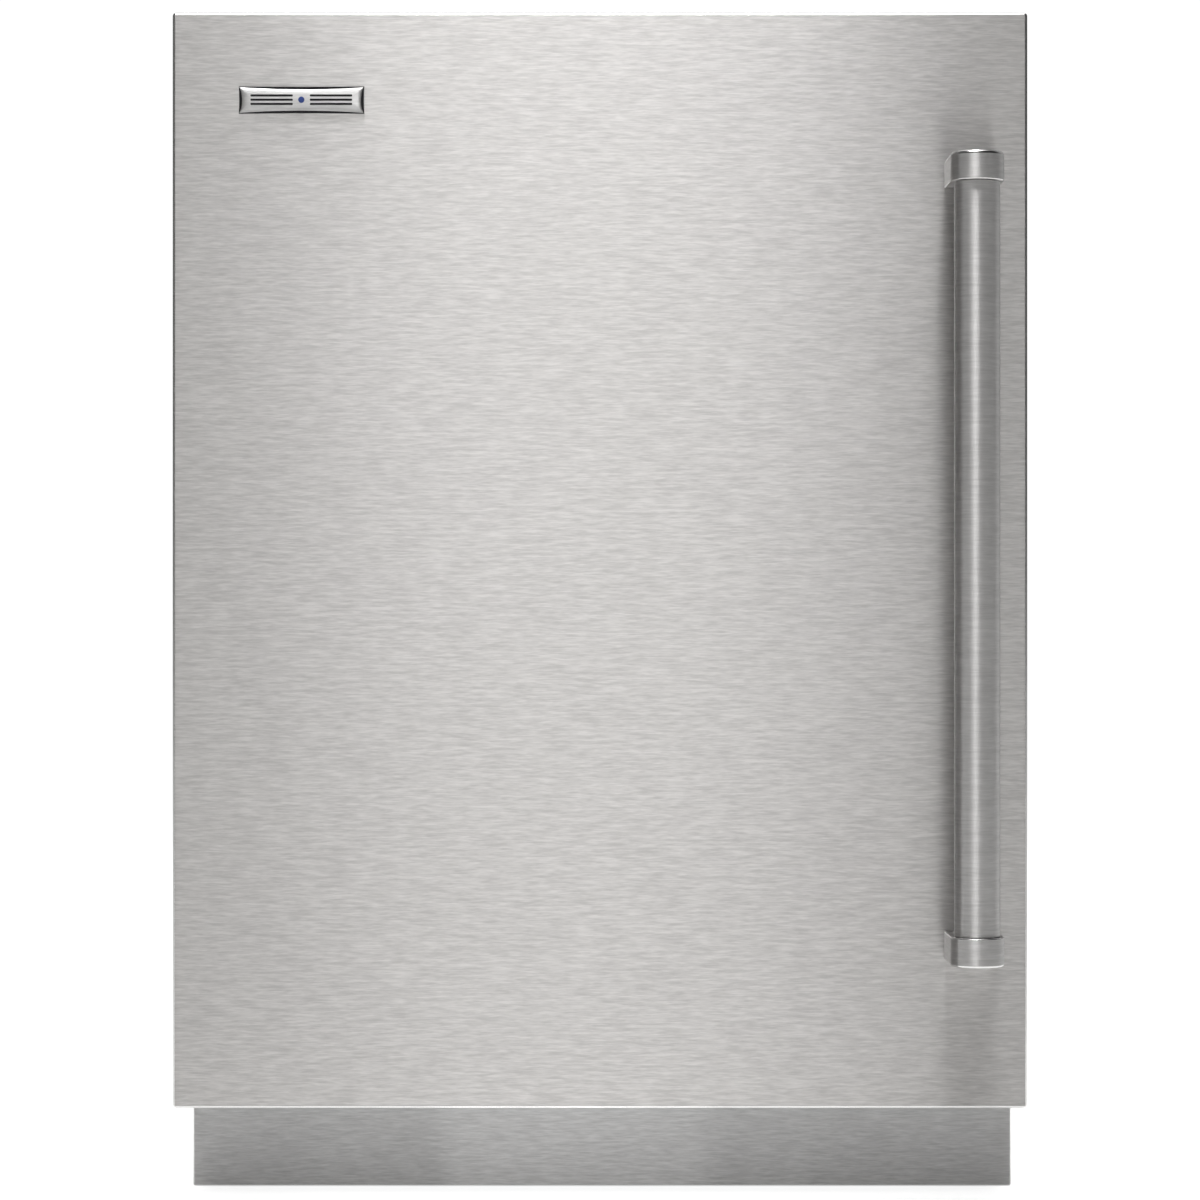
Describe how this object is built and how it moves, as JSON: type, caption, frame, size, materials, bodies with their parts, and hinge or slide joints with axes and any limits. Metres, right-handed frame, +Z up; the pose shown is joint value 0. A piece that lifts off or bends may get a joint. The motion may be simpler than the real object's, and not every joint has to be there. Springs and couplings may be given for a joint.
{
  "type": "undercounter refrigerator",
  "caption": "Undercounter refrigerator with a left-hinged brushed stainless door, tubular pull handle, recessed kick plate, glass shelves, crisper drawer and a rear machine bay.",
  "frame": {"origin": "on the floor, under the middle of the footprint (handle included)", "axes": "+Z up, the door faces -Y, +X is the handle side as seen from the front"},
  "size_m": [0.606, 0.668, 0.854],
  "materials": {
    "stainless": "brushed along the width, clear and slightly warm",
    "handle_steel": "turned tube brushed round its girth",
    "badge_steel": "fine brushed plate with polished ends",
    "hinge_steel": "tumbled stainless",
    "galvanised": "zinc-coated sheet with faint spangle",
    "aluminium": "satin anodised",
    "copper": "drawn copper tube, lightly dulled",
    "black_steel": "semi-gloss black enamel",
    "liner_plastic": "vacuum-formed white sheet",
    "insulation_foam": "foamed-in-place rigid insulation",
    "gasket_rubber": "soft grey extrusion",
    "black_plastic": "fine moulded grain",
    "display": "gloss black window",
    "clear_plastic": "clear moulded plastic with polished edges",
    "shelf_glass": "tempered sheet glass",
    "diffuser": "opal light diffuser"
  },
  "bodies": {
    "cabinet": {"side_panel_left": "stainless", "side_panel_right": "stainless", "top_panel": "stainless", "rear_panel": "galvanised", "cabinet_floor": "galvanised", "front_frame": "stainless", "liner": "liner_plastic", "foam_insulation": "insulation_foam", "base_pan": "galvanised", "kick_plate": "stainless", "air_grille": "black_plastic", "service_cover": "galvanised", "cord_inlet": "black_plastic", "shelf_rail_left": "aluminium", "shelf_rail_right": "aluminium", "shelf_glass_middle": "shelf_glass", "shelf_trim_middle": "aluminium", "shelf_glass_upper": "shelf_glass", "shelf_trim_upper": "aluminium", "crisper_lid": "shelf_glass", "control_panel": "black_plastic", "display_window": "display", "light_lens": "diffuser", "evaporator_cover": "liner_plastic", "evaporator_coil": "aluminium", "evaporator_fan_motor": "black_plastic", "compressor": "black_steel", "compressor_feet": "galvanised", "condenser_coil": "black_steel", "condenser_fan_motor": "black_steel", "control_box": "galvanised", "refrigerant_line": "copper", "top_hinge_bracket": "hinge_steel", "top_hinge_pin": "hinge_steel", "bottom_hinge_bracket": "hinge_steel"},
    "door": {"door_panel": "stainless", "panel_core": "insulation_foam", "inner_door_case": "stainless", "door_foam": "insulation_foam", "door_liner": "liner_plastic", "door_gasket": "gasket_rubber", "badge": "badge_steel", "handle_bracket_top": "handle_steel", "handle_bracket_bottom": "handle_steel", "handle_bar": "handle_steel", "door_bin_lower": "clear_plastic", "door_bin_middle": "clear_plastic", "door_bin_upper": "clear_plastic", "top_hinge_bush": "black_plastic", "bottom_hinge_bush": "black_plastic"},
    "crisper": {"crisper_drawer": "clear_plastic"},
    "evaporator_fan_rotor": {"evaporator_fan": "black_plastic"},
    "condenser_fan_rotor": {"condenser_fan": "black_plastic"},
    "power_key": {"power_button": "aluminium"},
    "colder_key": {"colder_button": "aluminium"},
    "warmer_key": {"warmer_button": "aluminium"},
    "foot_front_left": {"leg_front_left": "black_plastic"},
    "foot_front_right": {"leg_front_right": "black_plastic"},
    "foot_rear_left": {"leg_rear_left": "black_plastic"},
    "foot_rear_right": {"leg_rear_right": "black_plastic"}
  },
  "joints": [
    {"name": "door_swing", "type": "hinge", "parent": "cabinet", "child": "door", "pos_m": [-0.288, -0.24, 0], "axis": [0, 0, -1], "range_deg": [0, 110]},
    {"name": "crisper_slide", "type": "slide", "parent": "cabinet", "child": "crisper", "axis": [0, -1, 0], "range_m": [0, 0.028]},
    {"name": "evaporator_fan_spin", "type": "hinge", "parent": "cabinet", "child": "evaporator_fan_rotor", "pos_m": [0, 0.251, 0.69], "axis": [0, -1, 0], "continuous": true},
    {"name": "condenser_fan_spin", "type": "hinge", "parent": "cabinet", "child": "condenser_fan_rotor", "pos_m": [-0.175, 0.205, 0.15], "axis": [1, 0, 0], "continuous": true},
    {"name": "power_press", "type": "slide", "parent": "cabinet", "child": "power_key", "axis": [0, 1, 0], "range_m": [0, 0.001], "stiffness_N_per_m": 400, "springref_m": -0.002},
    {"name": "colder_press", "type": "slide", "parent": "cabinet", "child": "colder_key", "axis": [0, 1, 0], "range_m": [0, 0.001], "stiffness_N_per_m": 400, "springref_m": -0.002},
    {"name": "warmer_press", "type": "slide", "parent": "cabinet", "child": "warmer_key", "axis": [0, 1, 0], "range_m": [0, 0.001], "stiffness_N_per_m": 400, "springref_m": -0.002},
    {"name": "level_front_left", "type": "slide", "parent": "cabinet", "child": "foot_front_left", "axis": [0, 0, -1], "range_m": [0, 0.025]},
    {"name": "level_front_right", "type": "slide", "parent": "cabinet", "child": "foot_front_right", "axis": [0, 0, -1], "range_m": [0, 0.025]},
    {"name": "level_rear_left", "type": "slide", "parent": "cabinet", "child": "foot_rear_left", "axis": [0, 0, -1], "range_m": [0, 0.025]},
    {"name": "level_rear_right", "type": "slide", "parent": "cabinet", "child": "foot_rear_right", "axis": [0, 0, -1], "range_m": [0, 0.025]}
  ]
}
